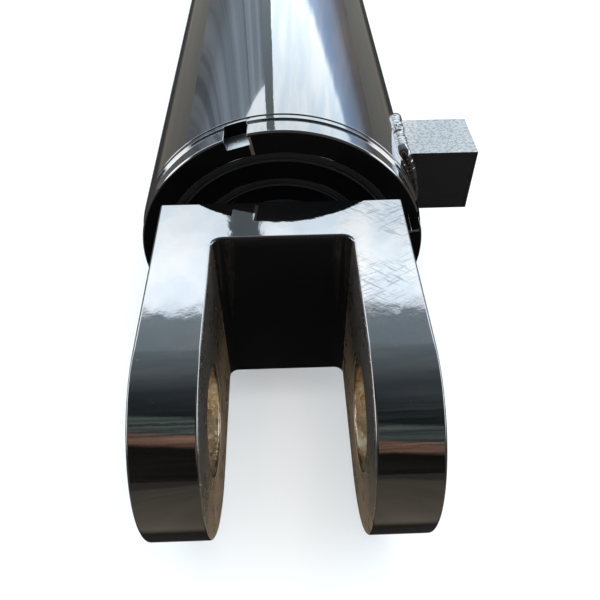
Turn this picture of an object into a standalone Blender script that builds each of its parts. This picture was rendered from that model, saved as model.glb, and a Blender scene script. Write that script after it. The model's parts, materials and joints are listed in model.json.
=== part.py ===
"""Telescopic hydraulic cylinder: a barrel, two sleeves and a plunger that carries a clevis.

The cylinder lies along Y with its clevis towards -Y, its two pin axes along X and its base pin
at the origin. Each piece is modelled upright, with Z as the height above the base pin and +Y up,
and its body's empty lays it down. All sizes are in metres.
"""
import math

import bmesh
import bpy
from mathutils import Matrix, Vector

SEGMENTS = 40
SMALL_SEGMENTS = 16
GAP = 0.0003

PIN_TO_PIN = 1.150

PIN_RADIUS = 0.0275
BUSH_WALL = 0.0035
CLEVIS_WIDTH = 0.150
CLEVIS_RADIUS = 0.064
CLEVIS_LENGTH = 0.116
EAR_THICKNESS = 0.034
SLOT_DEPTH = 0.082
SLOT_CORNER = 0.006
LUG_WIDTH = 0.080
LUG_RADIUS = 0.060
EDGE_ROUND = 0.0015

BARREL_RADIUS = 0.101
BARREL_BORE = 0.090
SLEEVE_1_RADIUS = 0.0775
SLEEVE_1_BORE = 0.069
SLEEVE_2_RADIUS = 0.0575
SLEEVE_2_BORE = 0.050
PLUNGER_RADIUS = 0.040
PLUNGER_BORE = 0.028

HEAD_FACE = PIN_TO_PIN - 0.138
NUT_BAND = 0.018
NUT_STEP = 0.001
NUT_STEP_HEIGHT = 0.005
RECESS = 0.002
SLEEVE_BAND = 0.010
SPIGOTS = (0.048, 0.045, 0.042)

NOTCH_WIDTH = 0.015
NOTCH_DEPTH = 0.0085
NOTCH_HEIGHT = 0.0145
NOTCH_ANGLES = (16.0, 106.0, 196.0, 286.0)

CAP_BOTTOM = 0.090
CAP_TOP = 0.120
CAP_SPIGOT_TOP = 0.132
BOSS_TOP = 0.157
BOSS_RADIUS = 0.0745
OIL_SLOT_WIDTH = 0.020
OIL_SLOT_DEPTH = 0.014

PISTON_HEIGHT = 0.040
STOP_HEIGHT = 0.008
GUIDE_HEIGHT = 0.012
SEAL_HEIGHT = 0.008
WIPER_HEIGHT = 0.007

PORT_BLOCK_HIGH = 0.051
PORT_BLOCK_LONG = 0.047
PORT_BLOCK_END = 0.146
PORT_BLOCK_RISE = 0.0195
PORT_RADIUS = 0.012
OIL_WAY_RADIUS = 0.009
HEAD_PORT_HEIGHT = PIN_TO_PIN - 0.2175
BASE_PORT_HEIGHT = 0.1445

NIPPLE_HOLE = 0.004

LAID_DOWN = (math.pi / 2, 0.0, 0.0)


def clear_scene():
    for obj in list(bpy.data.objects):
        bpy.data.objects.remove(obj, do_unlink=True)


def new_collection(name):
    collection = bpy.data.collections.new(name)
    bpy.context.scene.collection.children.link(collection)
    return collection


def new_look(name, color, roughness, metallic):
    look = bpy.data.materials.new(name)
    look.use_nodes = True
    shader = look.node_tree.nodes["Principled BSDF"]
    shader.inputs["Base Color"].default_value = (*color, 1.0)
    shader.inputs["Roughness"].default_value = roughness
    shader.inputs["Metallic"].default_value = metallic
    return look


def new_body(name):
    """Add the empty that lays a body's upright pieces down along Y."""
    empty = bpy.data.objects.new(name + "_axis", None)
    empty.rotation_euler = LAID_DOWN
    PIECES.objects.link(empty)
    return empty


def add_piece(name, mesh, color, roughness, metallic, body):
    obj = bpy.data.objects.new(name, mesh)
    obj.parent = body
    mesh.materials.append(new_look(name, color, roughness, metallic))
    mesh.shade_smooth()
    mesh.set_sharp_from_angle(angle=math.radians(30))
    PIECES.objects.link(obj)
    return obj


def add_screw(obj, segments):
    screw = obj.modifiers.new("turn", "SCREW")
    screw.steps = segments
    screw.render_steps = segments
    screw.use_merge_vertices = True
    screw.merge_threshold = 0.00001


def profile_mesh(name, profile, closed):
    mesh = bpy.data.meshes.new(name)
    edges = [(i, i + 1) for i in range(len(profile) - 1)]
    if closed:
        edges.append((len(profile) - 1, 0))
    mesh.from_pydata([(radius, 0.0, height) for radius, height in profile], edges, [])
    return mesh


def turned(name, profile, look, body, closed=True, segments=SEGMENTS):
    """Turn (radius, height) points about Z: a closed ring, or a solid that ends on the axis."""
    obj = add_piece(name, profile_mesh(name, profile, closed), *look, body)
    add_screw(obj, segments)
    return obj


def sleeve(name, outer, inner, bottom, top, look, body):
    """A plain ring or tube with a square section."""
    return turned(name, [(outer, top), (outer, bottom), (inner, bottom), (inner, top)], look, body)


def prism_mesh(name, outline, thickness, turn):
    """Extrude a flat outline to both sides of its plane, weld it and turn it into place."""
    curve = bpy.data.curves.new(name, "CURVE")
    curve.dimensions = "2D"
    curve.fill_mode = "BOTH"
    curve.extrude = thickness / 2
    spline = curve.splines.new("POLY")
    spline.points.add(len(outline) - 1)
    for point, (x, y) in zip(spline.points, outline):
        point.co = (x, y, 0.0, 1.0)
    spline.use_cyclic_u = True
    guide = bpy.data.objects.new(name + "_outline", curve)
    CUTTERS.objects.link(guide)
    bpy.context.view_layer.update()
    evaluated = guide.evaluated_get(bpy.context.evaluated_depsgraph_get())
    mesh = bpy.data.meshes.new_from_object(evaluated)
    bpy.data.objects.remove(guide, do_unlink=True)
    edit = bmesh.new()
    edit.from_mesh(mesh)
    bmesh.ops.remove_doubles(edit, verts=edit.verts, dist=0.00001)
    bmesh.ops.transform(edit, matrix=turn, verts=edit.verts)
    bmesh.ops.recalc_face_normals(edit, faces=edit.faces)
    edit.to_mesh(mesh)
    edit.free()
    return mesh


def arc(center, radius, start, end, steps):
    """Points on an arc between two angles in degrees, both ends included."""
    angles = [math.radians(start + (end - start) * i / steps) for i in range(steps + 1)]
    return [(center[0] + radius * math.cos(a), center[1] + radius * math.sin(a)) for a in angles]


def eye_outline(radius, pin_height, flat_height):
    """A plate seen along X, as (height, up) points: a half circle about its pin and a flat end."""
    side = 1.0 if pin_height > flat_height else -1.0
    round_end = arc((pin_height, 0.0), radius, -90.0 * side, 90.0 * side, SMALL_SEGMENTS)
    if side < 0:
        round_end = [(2 * pin_height - height, up) for height, up in round_end]
    return round_end + [(flat_height, round_end[-1][1]), (flat_height, round_end[0][1])]


def add_cutter(name, mesh, body):
    obj = bpy.data.objects.new(name, mesh)
    obj.parent = body
    obj.hide_render = True
    obj.display_type = "WIRE"
    CUTTERS.objects.link(obj)
    return obj


def cutter_from(name, body, build):
    mesh = bpy.data.meshes.new(name)
    edit = bmesh.new()
    build(edit)
    edit.to_mesh(mesh)
    edit.free()
    return add_cutter(name, mesh, body)


def round_cutter(name, radius, start, end, body, segments=SEGMENTS):
    """A cylinder from one point to another, with a vertex ring that starts on its own X."""
    start, end = Vector(start), Vector(end)
    along = (end - start).to_track_quat("Z", "Y").to_matrix().to_4x4()
    place = Matrix.Translation((start + end) / 2) @ along

    def build(edit):
        bmesh.ops.create_cone(edit, cap_ends=True, segments=segments, radius1=radius,
                              radius2=radius, depth=(end - start).length, matrix=place)

    return cutter_from(name, body, build)


def box_cutter(name, size, place, body):
    def build(edit):
        scale = Matrix.Diagonal((*size, 1.0))
        bmesh.ops.create_cube(edit, size=1.0, matrix=place @ scale)

    return cutter_from(name, body, build)


def cut(obj, *cutters):
    for cutter in cutters:
        boolean = obj.modifiers.new("cut_" + cutter.name, "BOOLEAN")
        boolean.operation = "DIFFERENCE"
        boolean.solver = "EXACT"
        boolean.object = cutter


def round_edges(obj, width=EDGE_ROUND):
    bevel = obj.modifiers.new("round_edges", "BEVEL")
    bevel.width = width
    bevel.segments = 2
    bevel.limit_method = "ANGLE"
    bevel.angle_limit = math.radians(40)


def make_barrel_tube(body):
    top = HEAD_FACE - NUT_BAND - GAP
    bottom = CAP_TOP + GAP
    profile = [(BARREL_RADIUS - 0.001, top), (BARREL_RADIUS, top - 0.001),
               (BARREL_RADIUS, bottom), (BARREL_BORE, bottom), (BARREL_BORE, top)]
    tube = turned("barrel_tube", profile, BLACK_PAINT, body)
    for name, height in (("head", HEAD_PORT_HEIGHT), ("base", BASE_PORT_HEIGHT)):
        start = (BARREL_BORE - 0.020, PORT_BLOCK_RISE, height)
        end = (BARREL_RADIUS + 0.010, PORT_BLOCK_RISE, height)
        cut(tube, round_cutter(name + "_oil_way", OIL_WAY_RADIUS, start, end, body, SMALL_SEGMENTS))


def make_port_block(name, height, body):
    """A square bar whose inner end is shaped to the barrel, with its port along X."""
    block_length = PORT_BLOCK_END - BARREL_BORE
    mesh = bpy.data.meshes.new(name)
    edit = bmesh.new()
    place = Matrix.Translation((BARREL_BORE + block_length / 2, PORT_BLOCK_RISE, height))
    scale = Matrix.Diagonal((block_length, PORT_BLOCK_HIGH, PORT_BLOCK_LONG, 1.0))
    bmesh.ops.create_cube(edit, size=1.0, matrix=place @ scale)
    edit.to_mesh(mesh)
    edit.free()
    block = add_piece(name, mesh, *BLACK_PAINT, body)
    round_edges(block)
    saddle = add_cutter(name + "_saddle", profile_mesh(name, [
        (0.0, height + 0.05), (BARREL_RADIUS + GAP, height + 0.05),
        (BARREL_RADIUS + GAP, height - 0.05), (0.0, height - 0.05)], closed=False), body)
    add_screw(saddle, SEGMENTS)
    bore = round_cutter(name + "_port", PORT_RADIUS, (BARREL_BORE, PORT_BLOCK_RISE, height),
                        (PORT_BLOCK_END + 0.010, PORT_BLOCK_RISE, height), body, SMALL_SEGMENTS)
    cut(block, saddle, bore)


def make_base_cap(body):
    """The welded end plate: a spigot in the barrel and a slotted boss that the sleeves rest on."""
    spigot = BARREL_BORE - GAP
    profile = [(0.0, BOSS_TOP), (BOSS_RADIUS, BOSS_TOP), (BOSS_RADIUS, CAP_SPIGOT_TOP),
               (spigot, CAP_SPIGOT_TOP), (spigot, CAP_TOP), (BARREL_RADIUS, CAP_TOP),
               (BARREL_RADIUS, CAP_BOTTOM + 0.003), (BARREL_RADIUS - 0.003, CAP_BOTTOM),
               (0.0, CAP_BOTTOM)]
    cap = turned("base_cap", profile, BLACK_PAINT, body, closed=False)
    for name, turn in (("across", 0.0), ("along", math.pi / 2)):
        place = Matrix.Translation((0, 0, BOSS_TOP)) @ Matrix.Rotation(turn, 4, "Z")
        size = (BARREL_RADIUS * 2, OIL_SLOT_WIDTH, OIL_SLOT_DEPTH * 2)
        cut(cap, box_cutter("oil_slot_" + name, size, place, body))


def make_base_lug(body):
    outline = eye_outline(LUG_RADIUS, 0.0, CAP_BOTTOM - GAP)
    lug = add_piece("base_lug", prism_mesh("base_lug", outline, LUG_WIDTH, FACING_X),
                    *BLACK_PAINT, body)
    reach = LUG_WIDTH
    pin_hole = round_cutter("base_pin_hole", PIN_RADIUS + BUSH_WALL + GAP, (-reach, 0, 0),
                            (reach, 0, 0), body)
    grease_hole = round_cutter("grease_hole", NIPPLE_HOLE, (0, PIN_RADIUS, 0.004),
                               (0, LUG_RADIUS + 0.01, 0.004), body, SMALL_SEGMENTS)
    cut(lug, pin_hole, grease_hole)
    round_edges(lug)


def make_bush(name, center, height, length, body):
    """A plain bronze bush about a pin axis along X."""
    half = length / 2
    outer = PIN_RADIUS + BUSH_WALL
    profile = [(outer, half), (outer, -half), (PIN_RADIUS, -half), (PIN_RADIUS, half)]
    bush = turned(name, profile, BRONZE, body)
    bush.location = (center, 0.0, height)
    bush.rotation_euler = (0.0, math.pi / 2, 0.0)


def make_grease_nipple(body):
    """A threaded shank, a flat collar, a neck and a round head, standing up from the lug."""
    shank = NIPPLE_HOLE - GAP
    profile = [(0.0, 0.0125), (0.0022, 0.012), (0.0033, 0.010), (0.0022, 0.0078), (0.0028, 0.0055),
               (0.0050, 0.0050), (0.0050, GAP), (shank, GAP), (shank, -0.020), (0.0, -0.020)]
    nipple = turned("base_grease_nipple", profile, ZINC, body, closed=False,
                    segments=SMALL_SEGMENTS)
    nipple.location = (0.0, LUG_RADIUS, 0.004)
    nipple.rotation_euler = (-math.pi / 2, 0.0, 0.0)


def gland_profile(rod, bore, band_side, face, band, spigot_length):
    """A screwed gland nut: band and spigot outside; wiper, seal and guide grooves inside."""
    inner = rod + GAP
    spigot = bore - GAP
    bottom = face - band - spigot_length
    groove = groove_radius(rod, bore)
    guide_low, seal_low, wiper_low = groove_heights(face, bottom)
    inside = [(inner, bottom)]
    for low, height in ((guide_low, GUIDE_HEIGHT), (seal_low, SEAL_HEIGHT)):
        inside += [(inner, low - GAP), (groove, low - GAP), (groove, low + height + GAP),
                   (inner, low + height + GAP)]
    inside += [(inner, wiper_low - GAP), (groove, wiper_low - GAP), (groove, face)]
    return band_side + [(spigot, face - band), (spigot, bottom)] + inside


def groove_radius(rod, bore):
    """The floor of a groove, a little past half way through the gland's wall."""
    return rod + (bore - rod) * 0.55


def groove_heights(face, bottom):
    return bottom + 0.004, bottom + 0.022, face - WIPER_HEIGHT - GAP


def make_gland(owner, rod, bore, band_side, face, band, spigot_length, body):
    """A gland nut with the wiper, rod seal and guide ring that sit in its grooves."""
    profile = gland_profile(rod, bore, band_side, face, band, spigot_length)
    nut = turned(owner + "_gland_nut", profile, BLACK_PAINT, body)
    bottom = face - band - spigot_length
    guide_low, seal_low, wiper_low = groove_heights(face, bottom)
    outer = groove_radius(rod, bore) - GAP
    inner = rod + GAP
    sleeve(owner + "_gland_guide_ring", outer, inner, guide_low, guide_low + GUIDE_HEIGHT,
           GUIDE_PLASTIC, body)
    sleeve(owner + "_rod_seal", outer, inner, seal_low, seal_low + SEAL_HEIGHT, SEAL_RUBBER, body)
    middle = (inner + outer) / 2
    wiper = [(outer, face), (outer, wiper_low), (inner, wiper_low), (inner, face - 0.0005),
             (middle, face - 0.0015), (middle + 0.001, face)]
    turned(owner + "_wiper", wiper, SEAL_RUBBER, body)
    return nut


def make_barrel_gland(body):
    band_radius = BARREL_RADIUS - NUT_STEP
    step = HEAD_FACE - NUT_BAND + NUT_STEP_HEIGHT
    band_side = [(band_radius - 0.002, HEAD_FACE), (band_radius, HEAD_FACE - 0.002),
                 (band_radius, step), (BARREL_RADIUS, step - NUT_STEP),
                 (BARREL_RADIUS, HEAD_FACE - NUT_BAND)]
    nut = make_gland("barrel", SLEEVE_1_RADIUS, BARREL_BORE, band_side, HEAD_FACE, NUT_BAND,
                     SPIGOTS[0], body)
    for angle in NOTCH_ANGLES:
        turn = Matrix.Rotation(math.radians(angle), 4, "Z")
        reach = Vector((0.0, BARREL_RADIUS, HEAD_FACE))
        size = (NOTCH_WIDTH, NOTCH_DEPTH * 2, NOTCH_HEIGHT * 2)
        place = turn @ Matrix.Translation(reach)
        cut(nut, box_cutter(f"spanner_notch_{angle:.0f}", size, place, body))


def make_sleeve_gland(owner, rod, outer, bore, recess, spigot_length, body):
    face = HEAD_FACE - recess
    side = outer - GAP
    band_side = [(side - 0.001, face), (side, face - 0.001), (side, face - SLEEVE_BAND)]
    make_gland(owner, rod, bore, band_side, face, SLEEVE_BAND, spigot_length, body)


def make_sleeve_tube(owner, outer, inner, recess, body):
    top = HEAD_FACE - recess - SLEEVE_BAND - GAP
    sleeve(owner + "_tube", outer, inner, BOSS_TOP + GAP, top, CHROME, body)


def piston_rings(owner, outer, floor, bottom, body):
    """The seal and the guide ring in a piston's two grooves."""
    guide_low = bottom + 0.006
    seal_low = bottom + 0.026
    sleeve(owner + "_piston_guide_ring", outer, floor + GAP, guide_low, guide_low + GUIDE_HEIGHT,
           GUIDE_PLASTIC, body)
    sleeve(owner + "_piston_seal", outer, floor + GAP, seal_low, seal_low + SEAL_HEIGHT,
           SEAL_RUBBER, body)


def piston_side(outer, floor, bottom):
    """A piston's outer side, from its top down, with the grooves for its two rings."""
    side = [(outer, bottom + PISTON_HEIGHT)]
    for low, height in ((bottom + 0.026, SEAL_HEIGHT), (bottom + 0.006, GUIDE_HEIGHT)):
        side += [(outer, low + height + GAP), (floor, low + height + GAP), (floor, low - GAP),
                 (outer, low - GAP)]
    return side + [(outer, bottom)]


def make_sleeve_piston(owner, tube_radius, bore, body):
    """The ring screwed on a sleeve's inner end, and the stop ring ahead of it."""
    outer = bore - GAP
    inner = tube_radius + GAP
    floor = groove_radius(bore, tube_radius)
    bottom = BOSS_TOP + GAP
    top = bottom + PISTON_HEIGHT
    turned(owner + "_piston", piston_side(outer, floor, bottom) + [(inner, bottom), (inner, top)],
           STEEL, body)
    piston_rings(owner, outer, floor, bottom, body)
    sleeve(owner + "_stop_ring", outer - 0.002, inner, top + GAP, top + GAP + STOP_HEIGHT, STEEL,
           body)


def make_plunger(packing, body):
    """The hollow plunger, the solid piston in its inner end and that piston's rings."""
    outer = SLEEVE_2_BORE - GAP
    floor = groove_radius(SLEEVE_2_BORE, PLUNGER_RADIUS)
    bottom = BOSS_TOP + GAP
    top = bottom + PISTON_HEIGHT
    spigot = PLUNGER_BORE - GAP
    profile = [(0.0, top + 0.030), (spigot, top + 0.030), (spigot, top)]
    profile += piston_side(outer, floor, bottom) + [(0.0, bottom)]
    turned("plunger_piston", profile, STEEL, body, closed=False)
    piston_rings("plunger", outer, floor, bottom, packing)
    sleeve("plunger_stop_ring", outer - 0.002, PLUNGER_RADIUS + GAP, top + GAP,
           top + GAP + STOP_HEIGHT, STEEL, body)
    sleeve("plunger_tube", PLUNGER_RADIUS, PLUNGER_BORE, top + GAP,
           PIN_TO_PIN - CLEVIS_LENGTH - GAP, CHROME, body)


def slot_outline():
    """The slot between the ears, seen from above as (height, across) points."""
    half = CLEVIS_WIDTH / 2 - EAR_THICKNESS
    back = PIN_TO_PIN - SLOT_DEPTH
    corner = SLOT_CORNER
    mouth = PIN_TO_PIN + CLEVIS_RADIUS + 0.010
    low = arc((back + corner, -half + corner), corner, 270.0, 180.0, 4)
    high = arc((back + corner, half - corner), corner, 180.0, 90.0, 4)
    return [(mouth, -half)] + low + high + [(mouth, half)]


def make_clevis(body):
    outline = eye_outline(CLEVIS_RADIUS, PIN_TO_PIN, PIN_TO_PIN - CLEVIS_LENGTH)
    clevis = add_piece("clevis", prism_mesh("clevis", outline, CLEVIS_WIDTH, FACING_X),
                       *BLACK_PAINT, body)
    slot_mesh = prism_mesh("clevis_slot", slot_outline(), CLEVIS_RADIUS * 3, FACING_UP)
    slot = add_cutter("clevis_slot", slot_mesh, body)
    reach = CLEVIS_WIDTH
    pin_hole = round_cutter("clevis_pin_hole", PIN_RADIUS + BUSH_WALL + GAP,
                            (-reach, 0, PIN_TO_PIN), (reach, 0, PIN_TO_PIN), body)
    cut(clevis, slot, pin_hole)
    round_edges(clevis)
    middle = CLEVIS_WIDTH / 2 - EAR_THICKNESS / 2
    for side, center in (("left", -middle), ("right", middle)):
        make_bush("clevis_bush_" + side, center, PIN_TO_PIN, EAR_THICKNESS - 0.001, body)


def make_o_ring(body):
    """The static seal that sits under the gland nut's inner end, against the barrel."""
    outer = BARREL_BORE - GAP
    top = HEAD_FACE - NUT_BAND - SPIGOTS[0] - GAP
    sleeve("barrel_gland_o_ring", outer, outer - 0.005, top - 0.004, top, SEAL_RUBBER, body)


BLACK_PAINT = ((0.012, 0.012, 0.014), 0.08, 0.0)
CHROME = ((0.75, 0.76, 0.78), 0.12, 1.0)
STEEL = ((0.45, 0.45, 0.46), 0.35, 1.0)
BRONZE = ((0.55, 0.36, 0.16), 0.40, 1.0)
ZINC = ((0.62, 0.60, 0.52), 0.35, 1.0)
SEAL_RUBBER = ((0.020, 0.020, 0.022), 0.55, 0.0)
GUIDE_PLASTIC = ((0.30, 0.09, 0.05), 0.50, 0.0)

# An outline's X becomes the height; its Y becomes up for a plate and across for a slot.
FACING_X = Matrix.Rotation(-math.pi / 2, 4, "Y")
FACING_UP = Matrix(((0, 1, 0, 0), (0, 0, 1, 0), (1, 0, 0, 0), (0, 0, 0, 1)))

clear_scene()
PIECES = new_collection("telescopic_hydraulic_cylinder")
CUTTERS = new_collection("cutters")

barrel = new_body("barrel")
stage_1 = new_body("stage_1")
stage_2 = new_body("stage_2")
plunger_packing = new_body("plunger_packing")
plunger = new_body("plunger")

make_barrel_tube(barrel)
make_port_block("head_port_block", HEAD_PORT_HEIGHT, barrel)
make_port_block("base_port_block", BASE_PORT_HEIGHT, barrel)
make_base_cap(barrel)
make_base_lug(barrel)
make_bush("base_lug_bush", 0.0, 0.0, LUG_WIDTH - 0.001, barrel)
make_grease_nipple(barrel)
make_barrel_gland(barrel)
make_o_ring(barrel)

make_sleeve_tube("stage_1", SLEEVE_1_RADIUS, SLEEVE_1_BORE, RECESS, stage_1)
make_sleeve_gland("stage_1", SLEEVE_2_RADIUS, SLEEVE_1_RADIUS, SLEEVE_1_BORE, RECESS, SPIGOTS[1],
                  stage_1)
make_sleeve_piston("stage_1", SLEEVE_1_RADIUS, BARREL_BORE, stage_1)

make_sleeve_tube("stage_2", SLEEVE_2_RADIUS, SLEEVE_2_BORE, 2 * RECESS, stage_2)
make_sleeve_gland("stage_2", PLUNGER_RADIUS, SLEEVE_2_RADIUS, SLEEVE_2_BORE, 2 * RECESS,
                  SPIGOTS[2], stage_2)
make_sleeve_piston("stage_2", SLEEVE_2_RADIUS, SLEEVE_1_BORE, stage_2)

make_plunger(plunger_packing, plunger)
make_clevis(plunger)
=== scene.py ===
import json
import math

import bmesh
import bpy
from mathutils import Matrix, Vector, noise


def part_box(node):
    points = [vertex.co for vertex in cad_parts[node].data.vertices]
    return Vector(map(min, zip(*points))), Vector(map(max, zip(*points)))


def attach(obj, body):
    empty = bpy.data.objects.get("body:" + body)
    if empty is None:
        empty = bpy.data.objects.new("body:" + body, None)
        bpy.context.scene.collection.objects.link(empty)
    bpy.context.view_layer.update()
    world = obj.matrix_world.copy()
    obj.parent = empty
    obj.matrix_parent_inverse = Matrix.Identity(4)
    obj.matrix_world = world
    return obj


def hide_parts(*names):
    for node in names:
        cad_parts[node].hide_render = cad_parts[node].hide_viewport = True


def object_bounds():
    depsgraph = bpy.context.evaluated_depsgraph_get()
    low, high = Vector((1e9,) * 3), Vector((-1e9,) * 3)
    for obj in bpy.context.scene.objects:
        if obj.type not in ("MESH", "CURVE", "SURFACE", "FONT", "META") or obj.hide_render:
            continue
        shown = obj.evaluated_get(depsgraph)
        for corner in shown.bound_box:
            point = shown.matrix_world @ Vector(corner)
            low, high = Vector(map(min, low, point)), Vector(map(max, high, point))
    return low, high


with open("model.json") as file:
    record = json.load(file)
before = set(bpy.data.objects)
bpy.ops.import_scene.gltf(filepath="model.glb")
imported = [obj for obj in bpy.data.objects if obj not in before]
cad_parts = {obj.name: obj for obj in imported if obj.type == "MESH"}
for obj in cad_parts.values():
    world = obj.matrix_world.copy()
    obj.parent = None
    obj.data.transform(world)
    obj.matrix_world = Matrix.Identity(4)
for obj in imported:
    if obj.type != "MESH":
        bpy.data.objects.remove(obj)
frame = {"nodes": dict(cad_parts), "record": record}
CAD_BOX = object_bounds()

# Shape details in metres that a node's box doesn't give. They repeat the CAD's own values.
PIN_RADIUS = 0.0275
SLOT_DEPTH = 0.082
EAR_THICKNESS = 0.034
SLOT_CORNER = 0.006
BARREL_BORE = 0.090
SLEEVE_1_BORE = 0.069
SLEEVE_2_BORE = 0.050
PLUNGER_BORE = 0.028
BOSS_RADIUS = 0.0745
PORT_RADIUS = 0.012
PORT_RISE = 0.0195
NOTCH_WIDTH = 0.015
NOTCH_DEPTH = 0.0085
NOTCH_HEIGHT = 0.0145
NOTCH_ANGLES = (-16.0, 74.0, 164.0, 254.0)
NUT_BAND = 0.018
SLEEVE_BAND = 0.010
GAP = 0.0003

EDGE = 0.0016
TURNED_STEPS = 160
EYE_STEPS = 96
WELD = 0.0048

# ---------------------------------------------------------------- node helpers

class Tree:
    """A short way to add nodes and to link them."""

    def __init__(self, tree):
        self.tree = tree

    def add(self, kind, **settings):
        node = self.tree.nodes.new(kind)
        inputs = settings.pop("inputs", {})
        for key, value in settings.items():
            setattr(node, key, value)
        for key, value in inputs.items():
            if isinstance(value, bpy.types.NodeSocket):
                self.tree.links.new(value, node.inputs[key])
            else:
                node.inputs[key].default_value = value
        return node

    def math(self, operation, a, b=0.0):
        return self.add("ShaderNodeMath", operation=operation, inputs={0: a, 1: b}).outputs[0]

    def between(self, value, low, high):
        """0 below low, 1 above high and smooth between them."""
        node = self.add("ShaderNodeMapRange", interpolation_type="SMOOTHSTEP", inputs={
            "Value": value, "From Min": low, "From Max": high})
        return node.outputs["Result"]

    def mix(self, factor, a, b, blend="MIX"):
        return self.add("ShaderNodeMix", data_type="RGBA", blend_type=blend, inputs={
            0: factor, 6: a, 7: b}).outputs[2]

    def times(self, a, b):
        return self.math("MULTIPLY", a, b)

    def spread(self, value, low, high):
        """Low where the value is 0 and high where it is 1."""
        return self.add("ShaderNodeMath", operation="MULTIPLY_ADD", inputs={
            0: value, 1: high - low, 2: low}).outputs[0]

    def parts(self, vector):
        """A vector's X, Y and Z."""
        split = self.add("ShaderNodeSeparateXYZ", inputs={0: vector}).outputs
        return split["X"], split["Y"], split["Z"]

    def tint(self, a, b):
        """The product of two colours."""
        return self.mix(1.0, a, b, "MULTIPLY")

    def noise(self, where, scale, detail=3.0, roughness=0.5, lay=None, turn=0.0):
        """Noise, finer along each axis by its lay, after a turn about Z in degrees."""
        if lay:
            where = self.add("ShaderNodeMapping", vector_type="TEXTURE", inputs={
                "Vector": where, "Scale": tuple(1.0 / value for value in lay),
                "Rotation": (0.0, 0.0, math.radians(turn))}).outputs[0]
        return self.add("ShaderNodeTexNoise", inputs={
            "Vector": where, "Scale": scale, "Detail": detail,
            "Roughness": roughness}).outputs["Fac"]

    def ramp(self, value, stops):
        """A colour for a value, by (value, colour) stops from 0 to 1."""
        node = self.add("ShaderNodeValToRGB", inputs={"Fac": value})
        ramp = node.color_ramp
        while len(ramp.elements) < len(stops):
            ramp.elements.new(1.0)
        for element, (place, color) in zip(ramp.elements, stops):
            element.position = place
            element.color = (*color, 1.0)
        return node.outputs["Color"]

    def bump(self, height, distance, normal=None):
        inputs = {"Height": height, "Distance": distance}
        if normal is not None:
            inputs["Normal"] = normal
        return self.add("ShaderNodeBump", inputs=inputs).outputs["Normal"]


def new_material(name):
    material = bpy.data.materials.new(name)
    material.use_nodes = True
    tree = Tree(material.node_tree)
    shader = material.node_tree.nodes["Principled BSDF"]
    where = tree.add("ShaderNodeTexCoord").outputs["Object"]
    return material, tree, shader, where


def connect(tree, shader, **sockets):
    for name, value in sockets.items():
        tree.tree.links.new(value, shader.inputs[name.replace("_", " ")])


# ------------------------------------------------------------------- materials

# How far the two sets of scratches are turned from the Y axis, in degrees.
SCRATCH_TURNS = (52, -62)


def scratch_marks(tree, where, first_x, first_y):
    """Crossed scratches in ragged patches, beyond a place in X and Y."""
    x, y = tree.parts(where)[:2]
    corner = tree.times(tree.between(x, first_x, first_x + 0.01),
                        tree.between(y, first_y, first_y + 0.02))
    patch = tree.times(tree.between(tree.noise(where, 34.0, 3.0), 0.36, 0.56), corner)
    lines = [tree.noise(where, 800.0, 3.0, 0.6, (1.0, 0.10, 1.0), turn)
             for turn in SCRATCH_TURNS]
    return tree.times(tree.between(tree.math("MAXIMUM", *lines), 0.50, 0.68), patch)


def black_paint(name, peel=0.000007, coat=1.0, grain=(1.0, 1.0, 1.0), tone=1.0,
                scratched_from=None, sanded=False):
    """Gloss enamel: a mirror-like coat with orange peel, faint haze and dust.

    It can be scratched beyond a point in X and Y, or laid over a sanded face.
    """
    material, tree, shader, where = new_material(name)
    shader.inputs["IOR"].default_value = 1.5
    shader.inputs["Coat Weight"].default_value = coat
    shader.inputs["Specular IOR Level"].default_value = 0.5 * coat
    shader.inputs["Coat IOR"].default_value = 1.6
    shader.inputs["Coat Roughness"].default_value = 0.012
    cloud = tree.noise(where, 22.0, 4.0)
    dust = tree.between(tree.noise(where, 1100.0, 1.0), 0.78, 0.82)
    dark, light = [(grey * tone, grey * tone, blue * tone, 1)
                   for grey, blue in ((0.0015, 0.0017), (0.0040, 0.0045))]
    film = tree.mix(cloud, dark, light)
    color = tree.mix(dust, film, (0.05, 0.048, 0.044, 1))
    haze = tree.spread(cloud, 0.02, 0.08)
    rough = tree.math("MAXIMUM", haze, tree.times(dust, 0.5))
    normal = tree.bump(tree.noise(where, 120.0, 1.0, 0.3, grain), peel * 5)
    normal = tree.bump(tree.noise(where, 620.0, 2.0, 0.5, grain), peel, normal)
    if scratched_from is not None:
        marks = scratch_marks(tree, where, *scratched_from)
        connect(tree, shader, Coat_Weight=tree.math("SUBTRACT", 1.0, tree.times(marks, 0.75)))
    if sanded:
        fleck = tree.between(tree.noise(where, 420.0, 4.0, 0.7), 0.36, 0.56)
        connect(tree, shader, Coat_Weight=fleck)
        color = tree.mix(fleck, (0.045, 0.047, 0.048, 1), color)
    connect(tree, shader, Base_Color=color, Roughness=rough, Normal=normal)
    material.node_tree.links.new(normal, shader.inputs["Coat Normal"])
    return material


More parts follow.
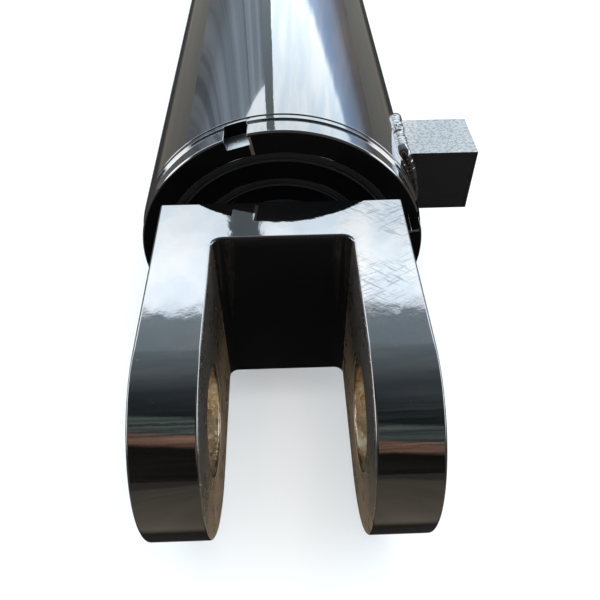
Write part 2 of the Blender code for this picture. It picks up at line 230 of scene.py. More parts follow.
def sprayed_paint_with_painted_reflection():
    """The slot's inner faces: the same enamel, thin and gritty with overspray; its warm brown is
    painted reflection, bright low down, with painted shade higher up.
    """
    material, tree, shader, where = new_material("overspray_paint_with_painted_reflection")
    shader.inputs["IOR"].default_value = 1.5
    shader.inputs["Coat Weight"].default_value = 0.6
    shader.inputs["Coat Roughness"].default_value = 0.16
    grain = tree.noise(where, 1500.0, 2.0, 0.7)
    cloud = tree.noise(where, 60.0, 5.0, 0.65)
    speck = tree.between(tree.noise(where, 1100.0, 1.0), 0.66, 0.72)
    # Painted reflection: the mottled warm brown stands in for the reflected floor.
    base = tree.mix(cloud, (0.016, 0.015, 0.014, 1), (0.120, 0.095, 0.072, 1))
    height = tree.parts(where)[2]
    # Painted reflection low down, warm and bright, and painted shade higher up, darker and cooler.
    painted_reflection_to_shade = tree.between(height, -0.030, 0.040)
    base = tree.tint(base, tree.mix(painted_reflection_to_shade, (3.6, 3.1, 2.4, 1), (0.5, 0.55, 0.6, 1)))
    color = tree.mix(speck, base, (0.34, 0.33, 0.31, 1))
    rough = tree.spread(cloud, 0.12, 0.47)
    normal = tree.bump(cloud, 0.0004)
    normal = tree.bump(grain, 0.00008, normal)
    connect(tree, shader, Base_Color=color, Roughness=rough, Normal=normal)
    return material


def bronze():
    """A bored bush: fine tool rings, grease pockets and a worn golden tone."""
    material, tree, shader, where = new_material("bronze_bush")
    shader.inputs["Metallic"].default_value = 1.0
    stain = tree.noise(where, 75.0, 6.0, 0.7)
    color = tree.ramp(stain, ((0.30, (0.20, 0.130, 0.080)), (0.44, (0.52, 0.385, 0.245)),
                              (0.56, (0.76, 0.64, 0.46)), (0.70, (0.95, 0.90, 0.78))))
    rings = tree.noise(where, 900.0, 2.0, 0.5, (1.0, 0.02, 0.02))
    pocket = tree.add("ShaderNodeTexVoronoi", feature="DISTANCE_TO_EDGE", inputs={
        "Vector": where, "Scale": 260.0}).outputs["Distance"]
    dimple = tree.between(pocket, 0.0, 0.25)
    rough = tree.spread(stain, 0.20, 0.50)
    normal = tree.bump(rings, 0.00005)
    normal = tree.bump(dimple, 0.00012, normal)
    connect(tree, shader, Base_Color=color, Roughness=rough, Normal=normal)
    return material


def metal(name, color, dark, low, high, lay=(1.0, 1.0, 1.0), scale=400.0, depth=0.00001):
    """A metal with tool or polishing marks that run along its lay."""
    material, tree, shader, where = new_material(name)
    shader.inputs["Metallic"].default_value = 1.0
    marks = tree.noise(where, scale, 3.0, 0.6, lay)
    cloud = tree.noise(where, 30.0, 4.0)
    rough = tree.spread(marks, low, high)
    connect(tree, shader, Base_Color=tree.mix(cloud, (*dark, 1), (*color, 1)), Roughness=rough,
            Normal=tree.bump(marks, depth))
    return material


def soft(name, color, light, rough, scale, depth):
    """Rubber or resin: a dull surface with a fine grain."""
    material, tree, shader, where = new_material(name)
    grain = tree.noise(where, scale, 3.0, 0.6)
    shader.inputs["Roughness"].default_value = rough
    shader.inputs["Specular IOR Level"].default_value = 0.25
    connect(tree, shader, Base_Color=tree.mix(grain, (*color, 1), (*light, 1)),
            Normal=tree.bump(grain, depth))
    return material


PAINT = black_paint("gloss_black_enamel")
PAINT_LONG = black_paint("gloss_black_enamel_tube", peel=0.000005, grain=(1.0, 0.15, 1.0))
PAINT_THIN = black_paint("thin_black_enamel", coat=0.05)
PAINT_SATIN = black_paint("satin_black_enamel", coat=0.3, tone=1.6)
PAINT_ROUGH_CUT = black_paint("gloss_black_enamel_on_bar", peel=0.00003, tone=3.0)
PAINT_SANDED = black_paint("sanded_black_enamel", peel=0.00003, sanded=True)
OVERSPRAY_WITH_PAINTED_REFLECTION = sprayed_paint_with_painted_reflection()
BRONZE = bronze()
CHROME = metal("hard_chrome", (0.78, 0.79, 0.81), (0.66, 0.67, 0.70), 0.06, 0.14,
               (1.0, 12.0, 1.0), 90.0, 0.000004)
STEEL = metal("turned_steel", (0.50, 0.50, 0.51), (0.34, 0.34, 0.35), 0.22, 0.45,
              (0.05, 1.0, 0.05), 1500.0)
MILLED = metal("milled_steel", (0.42, 0.43, 0.44), (0.25, 0.26, 0.27), 0.30, 0.55, scale=900.0)
ZINC = metal("zinc_plate", (0.66, 0.64, 0.55), (0.50, 0.48, 0.42), 0.25, 0.42, scale=900.0)
RUBBER = soft("seal_rubber", (0.004, 0.004, 0.004), (0.010, 0.010, 0.010), 0.62, 700.0, 0.00003)
RESIN = soft("guide_resin", (0.22, 0.06, 0.03), (0.36, 0.12, 0.07), 0.5, 1200.0, 0.00004)


# -------------------------------------------------------------- shape builders

def show(name, edit, material, body, *nodes, slot=None):
    """Make a piece of a bmesh, let it ride on its body and take the place of CAD nodes."""
    bmesh.ops.recalc_face_normals(edit, faces=edit.faces)
    mesh = bpy.data.meshes.new(name)
    edit.to_mesh(mesh)
    edit.free()
    mesh.materials.append(material)
    obj = bpy.data.objects.new(name, mesh)
    bpy.context.scene.collection.objects.link(obj)
    mesh.shade_smooth()
    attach(obj, body)
    if nodes:
        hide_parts(*nodes)
    return obj


def even_shading(obj):
    """Keep flat faces flat beside small rounded edges, as a mirror-like coat needs."""
    weighted = obj.modifiers.new("even_shading", "WEIGHTED_NORMAL")
    weighted.mode = "FACE_AREA"
    weighted.weight = 100
    weighted.keep_sharp = False


def round_edges(obj, width=EDGE, segments=4, limit=30.0):
    bevel = obj.modifiers.new("round_edges", "BEVEL")
    bevel.width = width
    bevel.segments = segments
    bevel.limit_method = "ANGLE"
    bevel.angle_limit = math.radians(limit)
    bevel.use_clamp_overlap = True
    even_shading(obj)


def fillet(before, corner, after, radius, steps=5):
    """Round one corner of an outline with an arc."""
    corner = Vector(corner)
    to_before = (Vector(before) - corner).normalized()
    to_after = (Vector(after) - corner).normalized()
    half = to_before.angle(to_after) / 2
    reach = radius / math.tan(half)
    center = corner + (to_before + to_after).normalized() * (radius / math.sin(half))
    start = corner + to_before * reach - center
    end = corner + to_after * reach - center
    turn = start.angle(end)
    points = []
    for i in range(steps + 1):
        t = i / steps
        point = (start * math.sin((1 - t) * turn) + end * math.sin(t * turn)) / math.sin(turn)
        points.append(tuple(center + point))
    return points


def rounded(outline):
    """Round each corner of a closed outline of (x, y, radius) points."""
    points = []
    for i, (x, y, radius) in enumerate(outline):
        if radius:
            before, after = outline[i - 1], outline[(i + 1) % len(outline)]
            points += fillet(before[:2], (x, y), after[:2], radius)
        else:
            points.append((x, y))
    return points


def revolve(profile, steps=TURNED_STEPS, center=(0.0, 0.0, 0.0), axis="Y", closed=True):
    """Turn (radius, height) points about an axis through a point; a radius of 0 is on it."""
    edit = bmesh.new()
    rows = []
    for radius, height in profile:
        row = []
        for i in range(1 if radius < 1e-9 else steps):
            angle = 2 * math.pi * i / steps
            a, b = radius * math.cos(angle), radius * math.sin(angle)
            point = {"X": (height, a, b), "Y": (a, height, b), "Z": (a, b, height)}[axis]
            row.append(edit.verts.new(Vector(center) + Vector(point)))
        rows.append(row)
    pairs = list(zip(rows, rows[1:])) + ([(rows[-1], rows[0])] if closed else [])
    for low, high in pairs:
        for i in range(steps):
            corners = [low[i % len(low)], low[(i + 1) % len(low)],
                       high[(i + 1) % len(high)], high[i % len(high)]]
            unique = list(dict.fromkeys(corners))
            if len(unique) > 2:
                edit.faces.new(unique)
    return edit


def turned(name, outline, material, body, *nodes, center=(0.0, 0.0, 0.0), axis="Y", slot=None):
    """A turned ring or tube about the cylinder's axis, with its corners rounded."""
    edit = revolve(rounded(outline), center=center, axis=axis)
    obj = show(name, edit, material, body, *nodes, slot=slot)
    even_shading(obj)
    return obj


def turned_solid(name, profile, material, body, *nodes, center=(0.0, 0.0, 0.0), axis="Y"):
    edit = revolve(profile, center=center, axis=axis, closed=False)
    obj = show(name, edit, material, body, *nodes)
    even_shading(obj)
    return obj


def prism(outline, low, high, place):
    """Extrude a flat outline; place turns (x, y, height) into a point."""
    edit = bmesh.new()
    bottom = [edit.verts.new(place(x, y, low)) for x, y in outline]
    top = [edit.verts.new(place(x, y, high)) for x, y in outline]
    edit.faces.new(bottom[::-1])
    edit.faces.new(top)
    for i in range(len(outline)):
        j = (i + 1) % len(outline)
        edit.faces.new((bottom[i], bottom[j], top[j], top[i]))
    return edit


def cylinder(radius, start, end, steps=96):
    start, end = Vector(start), Vector(end)
    edit = bmesh.new()
    place = Matrix.Translation((start + end) / 2) @ (
        (end - start).to_track_quat("Z", "Y").to_matrix().to_4x4())
    bmesh.ops.create_cone(edit, cap_ends=True, segments=steps, radius1=radius, radius2=radius,
                          depth=(end - start).length, matrix=place)
    return edit


def scratch_object(name, edit):
    bmesh.ops.recalc_face_normals(edit, faces=edit.faces)
    mesh = bpy.data.meshes.new(name)
    edit.to_mesh(mesh)
    edit.free()
    obj = bpy.data.objects.new(name, mesh)
    bpy.context.scene.collection.objects.link(obj)
    return obj


def carve(edit, cutters):
    """Cut bmeshes out of a bmesh and return the result as a new bmesh."""
    body = scratch_object("carved", edit)
    tools = [scratch_object("cutter", cutter) for cutter in cutters]
    for tool in tools:
        boolean = body.modifiers.new("cut", "BOOLEAN")
        boolean.operation = "DIFFERENCE"
        boolean.solver = "EXACT"
        boolean.object = tool
    bpy.context.view_layer.update()
    evaluated = body.evaluated_get(bpy.context.evaluated_depsgraph_get())
    result = bmesh.new()
    result.from_mesh(evaluated.to_mesh())
    evaluated.to_mesh_clear()
    for obj in [body] + tools:
        mesh = obj.data
        bpy.data.objects.remove(obj)
        bpy.data.meshes.remove(mesh)
    bmesh.ops.remove_doubles(result, verts=result.verts, dist=0.000002)
    return result


def bead(name, path, radius, body, ripple=0.0034, seed=0.0):
    """A painted weld: a lumpy rope round a closed path that swells with each ripple."""
    edit = bmesh.new()
    around = 14
    count = len(path)
    travelled = 0.0
    rows = []
    side = None
    for i, point in enumerate(path):
        tangent = (path[(i + 1) % count] - path[i - 1]).normalized()
        if side is None:
            side = tangent.orthogonal().normalized()
        else:
            side = (side - tangent * side.dot(tangent)).normalized()
            travelled += (point - path[i - 1]).length
        up = tangent.cross(side)
        phase = (travelled / ripple) % 1.0
        swell = 0.97 + 0.06 * (1 - phase) ** 2 + 0.20 * noise.noise(point * 90)
        row = []
        for k in range(around):
            angle = 2 * math.pi * k / around
            out = side * math.cos(angle) + up * math.sin(angle)
            lump = noise.noise((point + out * radius) * 210 + Vector((seed, seed, 0)))
            row.append(edit.verts.new(point + out * radius * (swell + 0.14 * lump)))
        rows.append(row)
    for i, low in enumerate(rows):
        high = rows[(i + 1) % count]
        shift = best_shift(low, high) if i == count - 1 else 0
        for k in range(around):
            j = (k + 1) % around
            edit.faces.new((low[k], low[j], high[(j + shift) % around],
                            high[(k + shift) % around]))
    return show(name, edit, PAINT, body, slot="black_paint")


def best_shift(low, high):
    """How far the last ring of a closed rope is turned against the first."""
    count = len(low)
    return min(range(count), key=lambda s: (low[0].co - high[s].co).length)


def loop_points(corners, step=0.0006):
    """Evenly spaced points round a closed outline of 3D corners."""
    points = []
    for i, corner in enumerate(corners):
        after = corners[(i + 1) % len(corners)]
        count = max(1, round((after - corner).length / step))
        points += [corner.lerp(after, k / count) for k in range(count)]
    return points


# ---------------------------------------------------------------- object parts

def eye_outline(pin_y, radius, flat_y):
    """The side of an eye: half a circle about its pin, and square at flat_y."""
    side = 1 if flat_y < pin_y else -1
    rim = []
    for i in range(EYE_STEPS + 1):
        angle = -side * math.pi / 2 + math.pi * i / EYE_STEPS
        rim.append((pin_y + radius * math.cos(angle), radius * math.sin(angle)))
    return rim + [(flat_y, side * radius), (flat_y, -side * radius)]


def make_clevis():
    """The fork, with scratched, oversprayed and plain enamel on its faces; the oversprayed slot
    faces carry painted reflection and painted shade.
    """
    low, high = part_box("clevis")
    radius = high.z
    pin_y = low.y + radius
    block = prism(eye_outline(pin_y, radius, high.y), low.x, high.x,
                  lambda y, z, x: Vector((x, y, z)))
    half = high.x - EAR_THICKNESS
    slot_back = pin_y + SLOT_DEPTH
    mouth = low.y - 0.02
    slot_outline = rounded([(mouth, -half, 0), (slot_back, -half, SLOT_CORNER),
                            (slot_back, half, SLOT_CORNER), (mouth, half, 0)])
    slot = prism(slot_outline, -0.1, 0.1, lambda y, x, z: Vector((x, y, z)))
    bush_low, bush_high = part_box("clevis_bush_left")
    bore = (bush_high.z - bush_low.z) / 2 + GAP
    hole = cylinder(bore, (-0.1, pin_y, 0), (0.1, pin_y, 0))
    shape = carve(block, [slot, hole])
    rubbed = black_paint("gloss_black_enamel_rubbed", scratched_from=(0.030, pin_y + 0.008))
    clevis = show("clevis_visual", shape, rubbed, "plunger", "clevis")
    for material in (OVERSPRAY_WITH_PAINTED_REFLECTION, PAINT, PAINT_SATIN):
        clevis.data.materials.append(material)
    sprayed_with_painted_reflection, plain, satin = 1, 2, 3
    for face in clevis.data.polygons:
        inside = abs(face.center.x) < half + 0.001 and face.center.y < slot_back - 0.002
        # The slot's side faces take the enamel with painted reflection and painted shade.
        if inside and abs(face.normal.x) > 0.9:
            face.material_index = sprayed_with_painted_reflection
        elif abs(face.center.x) < half and face.normal.y < -0.5 and face.center.y > pin_y:
            face.material_index = satin
        elif face.normal.z < 0.5:
            face.material_index = plain
    round_edges(clevis)
    return pin_y


def make_bush(node, body):
    low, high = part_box(node)
    outer = (high.z - low.z) / 2
    center = (0.0, (low.y + high.y) / 2, (low.z + high.z) / 2)
    outline = [(outer, low.x, 0.0006), (outer, high.x, 0.0006), (PIN_RADIUS, high.x, 0.0010),
               (PIN_RADIUS, low.x, 0.0010)]
    return turned(node + "_visual", outline, BRONZE, body, node, center=center, axis="X")


def make_gland_nut():
    """The head ring: a band with a step before its seam, spanner notches and a spigot."""
    low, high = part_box("barrel_gland_nut")
    outer = high.x
    face = low.y
    seam = face + NUT_BAND
    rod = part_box("stage_1_tube")[1].x + GAP
    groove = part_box("barrel_wiper")[1].x + GAP
    spigot = BARREL_BORE - GAP
    wiper_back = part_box("barrel_wiper")[1].y + GAP
    outline = [(outer - 0.0012, face, 0.0018), (outer - 0.0012, seam - 0.0056, 0.0004),
               (outer, seam - 0.0044, 0.0006), (outer, seam - 0.0007, 0.0006),
               (spigot, seam - 0.0007, 0.0002), (spigot, high.y, 0.0008), (rod, high.y, 0.0006),
               (rod, wiper_back, 0.0003), (groove, wiper_back, 0.0003), (groove, face, 0.0006)]
    ring = revolve(rounded(outline), steps=240)
    cutters = []
    for angle in NOTCH_ANGLES:
        turn = Matrix.Rotation(math.radians(angle), 4, "Y")
        edit = bmesh.new()
        size = Matrix.Diagonal((NOTCH_WIDTH, NOTCH_HEIGHT * 2, NOTCH_DEPTH * 2, 1.0))
        place = turn @ Matrix.Translation((0.0, face, outer)) @ size
        bmesh.ops.create_cube(edit, size=1.0, matrix=place)
        cutters.append(edit)
    nut = show("barrel_gland_nut_visual", carve(ring, cutters), PAINT, "barrel",
               "barrel_gland_nut")
    for material in (MILLED, PAINT_THIN):
        nut.data.materials.append(material)
    floor_radius = outer - NOTCH_DEPTH
    for polygon in nut.data.polygons:
        reach = math.hypot(polygon.center.x, polygon.center.z)
        if abs(reach - floor_radius) < 0.0006 and polygon.center.y < face + NOTCH_HEIGHT:
            polygon.material_index = 1
        elif polygon.normal.y < -0.9:
            polygon.material_index = 2
    round_edges(nut, 0.0005, 2, 50.0)


def make_barrel():
    low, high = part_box("barrel_tube")
    outer = high.x
    front, back = low.y, high.y
    outline = [(outer, front, 0.0007), (outer, back - 0.0035, 0.0003), (outer - 0.0035, back, 0),
               (BARREL_BORE, back, 0.0005), (BARREL_BORE, front, 0.0005)]
    turned("barrel_tube_visual", outline, PAINT_LONG, "barrel", "barrel_tube")


def make_port_block(node):
    """A square block fitted to the barrel's round side, with a threaded port in its end."""
    low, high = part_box(node)
    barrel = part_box("barrel_tube")[1].x
    middle_y = (low.y + high.y) / 2
    edit = bmesh.new()
    inner = BARREL_BORE + 0.002
    place = Matrix.Translation(((inner + high.x) / 2, middle_y, (low.z + high.z) / 2))
    size = Matrix.Diagonal((high.x - inner, high.y - low.y, high.z - low.z, 1.0))
    bmesh.ops.create_cube(edit, size=1.0, matrix=place @ size)
    saddle = cylinder(barrel + GAP, (0, low.y - 0.02, 0), (0, high.y + 0.02, 0), 160)
    bore = cylinder(PORT_RADIUS, (inner - 0.01, middle_y, PORT_RISE),
                    (high.x + 0.01, middle_y, PORT_RISE), 64)
    mouth = revolve([(0.0, high.x - 0.0030), (PORT_RADIUS, high.x - 0.0030),
                     (PORT_RADIUS + 0.0024, high.x + 0.0002), (PORT_RADIUS + 0.0024, high.x + 0.01),
                     (0.0, high.x + 0.01)], steps=64, center=(0, middle_y, PORT_RISE), axis="X",
                    closed=False)
    block = show(node + "_visual", carve(edit, [saddle, bore, mouth]), PAINT_ROUGH_CUT, "barrel",
                 node)
    block.data.materials.append(PAINT_SANDED)
    for polygon in block.data.polygons:
        if polygon.normal.z > 0.9 and polygon.center.z > high.z - 0.001:
            polygon.material_index = 1
    round_edges(block, 0.0014, 4, 35.0)
    make_thread(node + "_thread", middle_y, high.x - 0.0032, low.x + 0.022)
    make_block_weld(node + "_weld", low, high, barrel)


def make_thread(name, y, mouth, bottom):
    """The port's female thread: a lining whose inner face is a helical vee."""
    pitch, depth, per_turn, per_pitch = 0.0018, 0.0011, 64, 8
    outer = PORT_RADIUS - 0.00005
    rows = []
    edit = bmesh.new()
    count = int((mouth - bottom) / pitch * per_pitch)
    for k in range(count + 1):
        x = mouth - (mouth - bottom) * k / count
        row = []
        for i in range(per_turn):
            turn = (k / per_pitch - i / per_turn) % 1.0
            radius = outer - 0.0002 - depth * (1 - abs(2 * turn - 1))
            angle = 2 * math.pi * i / per_turn
            row.append(edit.verts.new((x, y + radius * math.cos(angle),
                                       PORT_RISE + radius * math.sin(angle))))
        rows.append(row)
    for x in (bottom, mouth):
        rows.append([edit.verts.new((x, y + outer * math.cos(2 * math.pi * i / per_turn),
                                     PORT_RISE + outer * math.sin(2 * math.pi * i / per_turn)))
                     for i in range(per_turn)])
    for a, b in zip(rows, rows[1:] + rows[:1]):
        for i in range(per_turn):
            j = (i + 1) % per_turn
            edit.faces.new((a[i], a[j], b[j], b[i]))
    show(name, edit, STEEL, "barrel", slot="turned_steel")


def make_block_weld(name, low, high, barrel):
    """The fillet weld round a port block, laid on the barrel's surface."""
    lift = 0.0008
    spread = 0.0016
    corner = 0.004
    outline = rounded([(low.y - spread, low.z - spread, corner),
                       (high.y + spread, low.z - spread, corner),
                       (high.y + spread, high.z + spread, corner),
                       (low.y - spread, high.z + spread, corner)])
    flat = loop_points([Vector((0.0, y, z)) for y, z in outline])
    path = []
    for point in flat:
        reach = barrel + lift
        path.append(Vector((math.sqrt(reach ** 2 - point.z ** 2), point.y, point.z)))
    bead(name, path, WELD, "barrel", seed=low.y * 40)


def circle_path(radius, y, step=0.0007):
    count = int(2 * math.pi * radius / step)
    turn = 2 * math.pi / count
    return [Vector((radius * math.cos(i * turn), y, radius * math.sin(i * turn)))
            for i in range(count)]


def make_base():
    low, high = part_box("base_cap")
    outer = high.x
    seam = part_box("barrel_tube")[1].y
    spigot = BARREL_BORE - GAP
    profile = [(0.0, low.y), (BOSS_RADIUS, low.y), (BOSS_RADIUS, seam - 0.012),
               (spigot, seam - 0.012), (spigot, seam + GAP), (outer - 0.0035, seam + GAP),
               (outer, seam + 0.0038), (outer, high.y - 0.003),
               (outer - 0.0006, high.y - 0.0012), (outer - 0.0030, high.y), (0.0, high.y)]
    turned_solid("base_cap_visual", profile, PAINT, "barrel", "base_cap")
    bead("base_cap_weld", circle_path(outer - 0.0040, seam + GAP), 0.0030, "barrel", seed=3.0)
    make_base_lug(high.y)


def make_base_lug(cap_back):
    low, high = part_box("base_lug")
    radius = high.z
    pin_y = high.y - radius
    block = prism(eye_outline(pin_y, radius, low.y), low.x, high.x,
                  lambda y, z, x: Vector((x, y, z)))
    bush_low, bush_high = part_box("base_lug_bush")
    hole = cylinder((bush_high.z - bush_low.z) / 2 + GAP, (-0.1, pin_y, 0), (0.1, pin_y, 0))
    nipple_y = (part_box("base_grease_nipple")[0].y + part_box("base_grease_nipple")[1].y) / 2
    nipple_hole = cylinder(0.004, (0, nipple_y, 0.0), (0, nipple_y, radius + 0.01), 32)
    lug = show("base_lug_visual", carve(block, [hole, nipple_hole]), PAINT, "barrel", "base_lug")
    round_edges(lug)
    spread = 0.0012
    x, z = high.x + spread, high.z + spread
    outline = rounded([(-x, -z, 0.004), (x, -z, 0.004), (x, z, 0.004), (-x, z, 0.004)])
    path = loop_points([Vector((a, cap_back + 0.0012, b)) for a, b in outline], 0.0008)
    bead("base_lug_weld", path, 0.0050, "barrel", ripple=0.0042, seed=7.0)


def make_nipple():
    low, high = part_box("base_grease_nipple")
    center = ((low.x + high.x) / 2, (low.y + high.y) / 2, 0.0)
    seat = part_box("base_lug")[1].z
    top = high.z
    profile = [(0.0, top), (0.0010, top), (0.0016, top - 0.0004), (0.0024, top - 0.0012),
               (0.0032, top - 0.0024), (0.0033, top - 0.0028), (0.0029, top - 0.0038),
               (0.0022, top - 0.0047), (0.0022, top - 0.0056), (0.0028, top - 0.0070)]
    head = profile + [(0.0028, seat + 0.0050), (0.0037, seat + 0.0050), (0.0037, low.z),
                      (0.0, low.z)]
    turned_solid("base_grease_nipple_visual", head, ZINC, "barrel", "base_grease_nipple",
                 center=center, axis="Z")
    edit = bmesh.new()
    bmesh.ops.create_cone(edit, cap_ends=True, segments=6, radius1=0.0050, radius2=0.0050,
                          depth=0.0046, matrix=Matrix.Translation(
                              (center[0], center[1], seat + GAP + 0.0023)))
    collar = show("base_grease_nipple_hexagon", edit, ZINC, "barrel", slot="zinc_plate")
    round_edges(collar, 0.0004, 2)


def make_sleeve(owner, bore, rod_radius):
    """A sleeve's chromed tube and the gland nut in its outer end."""
    tube_low, tube_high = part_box(owner + "_tube")
    outer = tube_high.x
    turned(owner + "_tube_visual",
           [(outer, tube_low.y, 0.0006), (outer, tube_high.y, 0.0006),
            (bore, tube_high.y, 0.0005), (bore, tube_low.y, 0.0005)],
           CHROME, owner, owner + "_tube")
    low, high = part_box(owner + "_gland_nut")
    side = high.x
    spigot = bore - GAP
    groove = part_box(owner + "_wiper")[1].x + GAP
    wiper_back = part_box(owner + "_wiper")[1].y + GAP
    shoulder = low.y + SLEEVE_BAND
    turned(owner + "_gland_nut_visual",
           [(side, low.y, 0.0012), (side, shoulder, 0.0005), (spigot, shoulder, 0.0002),
            (spigot, high.y, 0.0008), (rod_radius + GAP, high.y, 0.0005),
            (rod_radius + GAP, wiper_back, 0.0003), (groove, wiper_back, 0.0003),
            (groove, low.y, 0.0006)],
           PAINT_THIN, owner, owner + "_gland_nut")


def make_plunger():
    """The chromed plunger tube and the weld that holds the clevis on it."""
    low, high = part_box("plunger_tube")
    outer = high.x
    turned("plunger_tube_visual",
           [(outer, low.y, 0.0005), (outer, high.y, 0.0005),
            (PLUNGER_BORE, high.y, 0.0005), (PLUNGER_BORE, low.y, 0.0005)],
           CHROME, "plunger", "plunger_tube")
    clevis_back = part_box("clevis")[1].y
    bead("clevis_weld", circle_path(outer + 0.0012, clevis_back + 0.0016), 0.0045, "plunger",
         seed=11.0)


def make_wiper(owner, body):
    """A wiper ring with a lip toward the rod."""
    low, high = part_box(owner + "_wiper")
    outer = high.x
    rods = {"barrel": "stage_1_tube", "stage_1": "stage_2_tube", "stage_2": "plunger_tube"}
    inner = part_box(rods[owner])[1].x + GAP
    lip = min(0.0016, (outer - inner) / 3)
    turned(owner + "_wiper_visual",
           [(outer, low.y, 0.0003), (outer, high.y, 0.0004), (inner, high.y, 0.0004),
            (inner, low.y + 0.0004, 0.0002), (inner + lip, low.y + 0.0016, 0.0005),
            (inner + 2 * lip, low.y, 0.0003)],
           RUBBER, body, owner + "_wiper")


def dress_hidden_nodes():
    """Give the pieces inside the cylinder their own materials."""
    looks = {"turned_steel": STEEL, "seal_rubber": RUBBER, "guide_plastic": RESIN,
             "black_paint": PAINT, "chrome_plate": CHROME, "bronze": BRONZE, "zinc_plate": ZINC}
    slots = {entry["node"]: entry["material_slot"] for entry in frame["record"]["subparts"]}
    for node, obj in frame["nodes"].items():
        obj.data.materials.clear()
        obj.data.materials.append(looks[slots[node]])


# ------------------------------------------------------------ camera and light

def make_camera(pin_y):
    """A phone held close over the clevis, looking down along the barrel."""
    place = Vector((0.0018, pin_y - 0.1902, 0.2976))
    down, pan, tilt = math.radians(46.58), math.radians(-1.49), math.radians(-0.52)
    forward = Vector((-math.sin(pan) * math.cos(down), math.cos(pan) * math.cos(down),
                      -math.sin(down)))
    right = Vector((math.cos(pan), math.sin(pan), 0.0))
    up = right.cross(forward)
    turned_right = right * math.cos(tilt) + up * math.sin(tilt)
    turned_up = up * math.cos(tilt) - right * math.sin(tilt)
    data = bpy.data.cameras.new("camera")
    data.sensor_width = 36.0
    data.lens = 36.6
    data.shift_x = 0.0034
    data.clip_start = 0.01
    camera = bpy.data.objects.new("camera", data)
    bpy.context.scene.collection.objects.link(camera)
    turn = Matrix((turned_right, turned_up, -forward)).transposed()
    camera.matrix_world = Matrix.Translation(place) @ turn.to_4x4()
    bpy.context.scene.camera = camera


SKY = 10.0
# The surroundings from the horizon ahead (0 degrees), over the top, to the horizon behind (180).
SURROUNDINGS = (
    (0, (0.026, 0.022, 0.019)), (5, (0.034, 0.031, 0.032)), (8, (0.055, 0.060, 0.074)),
    (13, (0.075, 0.092, 0.125)), (16, (0.10, 0.13, 0.185)), (17.5, (0.33, 0.36, 0.385)),
    (32, (0.38, 0.405, 0.42)), (40, (0.62, 0.65, 0.68)), (44, (0.84, 0.88, 0.91)),
    (47, (0.84, 0.87, 0.92)), (47.6, (0.155, 0.178, 0.192)), (54, (0.107, 0.124, 0.134)),
    (64, (0.088, 0.102, 0.110)), (75, (0.075, 0.085, 0.090)), (86, (0.044, 0.051, 0.054)),
    (97, (0.020, 0.024, 0.026)), (110, (0.012, 0.014, 0.015)), (118.5, (0.012, 0.014, 0.014)),
    (120.5, (0.044, 0.055, 0.049)), (134, (0.048, 0.057, 0.054)), (136, (0.145, 0.084, 0.060)),
    (144, (0.10, 0.056, 0.038)), (147.5, (0.004, 0.003, 0.002)), (180, (0.008, 0.006, 0.005)))
# A low grey wall ahead on the left, by its height in degrees.
WALL = ((0, (0.022, 0.024, 0.026)), (9, (0.026, 0.030, 0.034)), (15, (0.044, 0.052, 0.062)),
        (22, (0.058, 0.070, 0.084)), (27, (0.078, 0.092, 0.105)))
WALL_TOP = 26.5
WALL_EDGES = (-75.0, -3.2)
# A dark post that stands before the wall's end.
POST_PAN = -4.8
POST_HALF_WIDTH = 2.0
POST_TOP = 45.3
PALE = (0.90, 0.90, 0.90, 1)


def sky_and_sheds(tree, ray, x, arch):
    """The bands of the surroundings, with clouds ahead and ragged layers behind.

    arch runs from 0 at the horizon ahead, over the top, to 1 at the horizon behind.
    """
    ragged = tree.noise(ray, 9.0, 5.0, 0.65, (3.0, 1.0, 0.5))
    shifted = tree.math("ADD", arch, tree.times(tree.math("SUBTRACT", ragged, 0.5), 0.014))
    lean = tree.times(tree.math("ADD", x, 0.19), 0.20)
    lean = tree.times(lean, tree.between(arch, 0.5, 0.6))
    shifted = tree.math("SUBTRACT", shifted, lean)
    color = tree.ramp(shifted, [(angle / 180, stop) for angle, stop in SURROUNDINGS])
    clouds = tree.noise(ray, 8.0, 5.0, 0.6, (1.0, 1.6, 0.7), 35)
    dimmed = tree.mix(tree.between(clouds, 0.40, 0.62), (0.80, 0.88, 0.94, 1), (1, 1, 1, 1))
    color = tree.tint(color, dimmed)
    layers = tree.add("ShaderNodeCombineXYZ", inputs={
        "X": tree.times(x, 2.5), "Y": tree.times(arch, 70.0)}).outputs[0]
    layer = tree.between(tree.noise(layers, 1.0, 4.0, 0.65), 0.32, 0.66)
    layered = tree.mix(layer, (0.35, 0.40, 0.40, 1), (1.6, 1.5, 1.45, 1))
    behind = tree.between(arch, 0.60, 0.66)
    color = tree.mix(behind, color, tree.tint(color, layered))
    aside = tree.times(tree.between(tree.math("ABSOLUTE", x), 0.38, 0.60), behind)
    return tree.mix(aside, color, (0.022, 0.025, 0.026, 1))


def add_wall(tree, color, x, y, arch):
    """Put the streaked wall and its post before the sky."""
    pan = tree.math("ARCTAN2", x, y)
    streak = tree.between(tree.noise(pan, 11.0, 4.0, 0.65), 0.35, 0.65)
    wall = tree.ramp(tree.times(arch, 6.0), [(height / 30, stop) for height, stop in WALL])
    wall = tree.tint(wall, tree.mix(streak, (0.62, 0.64, 0.66, 1), (1.25, 1.25, 1.25, 1)))
    first, last = [math.radians(edge) for edge in WALL_EDGES]
    on_left = tree.times(tree.math("LESS_THAN", pan, last),
                         tree.math("GREATER_THAN", pan, first))
    low_down = tree.math("LESS_THAN", arch, WALL_TOP / 180)
    color = tree.mix(tree.times(on_left, low_down), color, wall)
    off_post = tree.math("ABSOLUTE", tree.math("ADD", pan, math.radians(-POST_PAN)))
    post = tree.times(tree.math("LESS_THAN", off_post, math.radians(POST_HALF_WIDTH)),
                      tree.math("LESS_THAN", arch, POST_TOP / 180))
    return tree.mix(post, color, (0.046, 0.055, 0.060, 1))


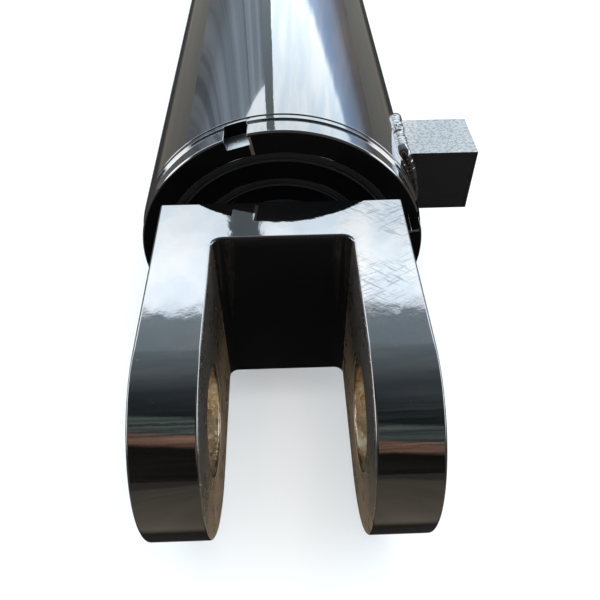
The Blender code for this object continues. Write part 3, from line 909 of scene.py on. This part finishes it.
def add_side_panels(tree, color, x, z):
    """A bright panel on either side, which lights the flanks."""
    in_height = tree.times(tree.between(z, 0.10, 0.16),
                           tree.math("SUBTRACT", 1.0, tree.between(z, 0.46, 0.52)))
    panel = tree.times(tree.between(tree.math("ABSOLUTE", x), 0.80, 0.86), in_height)
    return tree.mix(panel, color, (0.80, 0.83, 0.85, 1))


def make_world():
    """An open yard: bright low sky ahead, a dim roof overhead and dark shapes behind."""
    world = bpy.data.worlds.new("yard")
    bpy.context.scene.world = world
    world.use_nodes = True
    tree = Tree(world.node_tree)
    ray = tree.add("ShaderNodeTexCoord").outputs["Generated"]
    x, y, z = tree.parts(ray)
    arch = tree.math("DIVIDE", tree.math("ARCTAN2", z, y), math.pi)
    color = sky_and_sheds(tree, ray, x, arch)
    color = add_wall(tree, color, x, y, arch)
    color = add_side_panels(tree, color, x, z)
    yard = tree.tree.nodes["Background"]
    yard.inputs["Strength"].default_value = SKY
    tree.tree.links.new(color, yard.inputs["Color"])
    plain = tree.add("ShaderNodeBackground", inputs={"Color": PALE}).outputs[0]
    seen = tree.add("ShaderNodeLightPath").outputs["Is Camera Ray"]
    both = tree.add("ShaderNodeMixShader", inputs={0: seen, 1: yard.outputs[0], 2: plain})
    tree.tree.links.new(both.outputs[0], tree.tree.nodes["World Output"].inputs["Surface"])


def make_floor(pin_y):
    """A pale floor for the eye; its reflection in the enamel is that of warm boards, with a painted
    shadow under and behind the object and painted shade far to either side.
    """
    edit = bmesh.new()
    bmesh.ops.create_grid(edit, x_segments=1, y_segments=1, size=40.0)
    mesh = bpy.data.meshes.new("floor")
    edit.to_mesh(mesh)
    edit.free()
    floor = bpy.data.objects.new("floor", mesh)
    floor.location = (0.0, 0.0, CAD_BOX[0].z - 0.0005)
    bpy.context.scene.collection.objects.link(floor)
    material = bpy.data.materials.new("pale_floor")
    material.use_nodes = True
    tree = Tree(material.node_tree)
    shader = material.node_tree.nodes["Principled BSDF"]
    shader.inputs["Roughness"].default_value = 0.9
    shader.inputs["Specular IOR Level"].default_value = 0.1
    where = tree.add("ShaderNodeTexCoord").outputs["Object"]
    grain = tree.noise(where, 30.0, 4.0, 0.6, (1.0, 0.06, 1.0))
    boards = tree.mix(grain, (0.13, 0.105, 0.075, 1), (0.30, 0.25, 0.19, 1))
    x, y = tree.parts(where)[:2]
    # Painted shadow: where neither mask reaches, under and behind the object, the boards turn near
    # black.
    beside = tree.between(tree.math("ABSOLUTE", x), 0.24, 0.34)
    before = tree.math("SUBTRACT", 1.0, tree.between(y, pin_y - 0.125, pin_y - 0.095))
    # Painted shade: the boards far to either side are darkened.
    shaded = tree.between(tree.math("ABSOLUTE", x), 0.26, 0.36)
    boards = tree.mix(tree.times(shaded, 0.65), boards, (0.050, 0.050, 0.048, 1))
    boards = tree.mix(tree.math("MAXIMUM", beside, before), (0.020, 0.017, 0.014, 1), boards)
    mirrored = tree.add("ShaderNodeLightPath").outputs["Is Glossy Ray"]
    color = tree.mix(mirrored, (0.86, 0.86, 0.86, 1), boards)
    connect(tree, shader, Base_Color=color)
    mesh.materials.append(material)


def add_area(name, place, target, size, power):
    light = bpy.data.lights.new(name, "AREA")
    light.shape = "SQUARE"
    light.size = size
    light.energy = power
    lamp = bpy.data.objects.new(name, light)
    bpy.context.scene.collection.objects.link(lamp)
    lamp.location = place
    lamp.rotation_euler = (Vector(target) - Vector(place)).to_track_quat("-Z", "Y").to_euler()
    lamp.visible_glossy = False


bpy.context.scene.view_settings.view_transform = "Standard"

dress_hidden_nodes()
clevis_pin_y = make_clevis()
make_bush("clevis_bush_left", "plunger")
make_bush("clevis_bush_right", "plunger")
make_bush("base_lug_bush", "barrel")
make_gland_nut()
make_barrel()
make_port_block("head_port_block")
make_port_block("base_port_block")
make_base()
make_nipple()
make_sleeve("stage_1", SLEEVE_1_BORE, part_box("stage_2_tube")[1].x)
make_sleeve("stage_2", SLEEVE_2_BORE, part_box("plunger_tube")[1].x)
make_plunger()
for owner in ("barrel", "stage_1", "stage_2"):
    make_wiper(owner, owner)

make_camera(clevis_pin_y)
make_world()
make_floor(clevis_pin_y)
add_area("overhead", (0.3, clevis_pin_y - 0.2, 1.8), (0, clevis_pin_y + 0.3, 0), 1.6, 18.0)
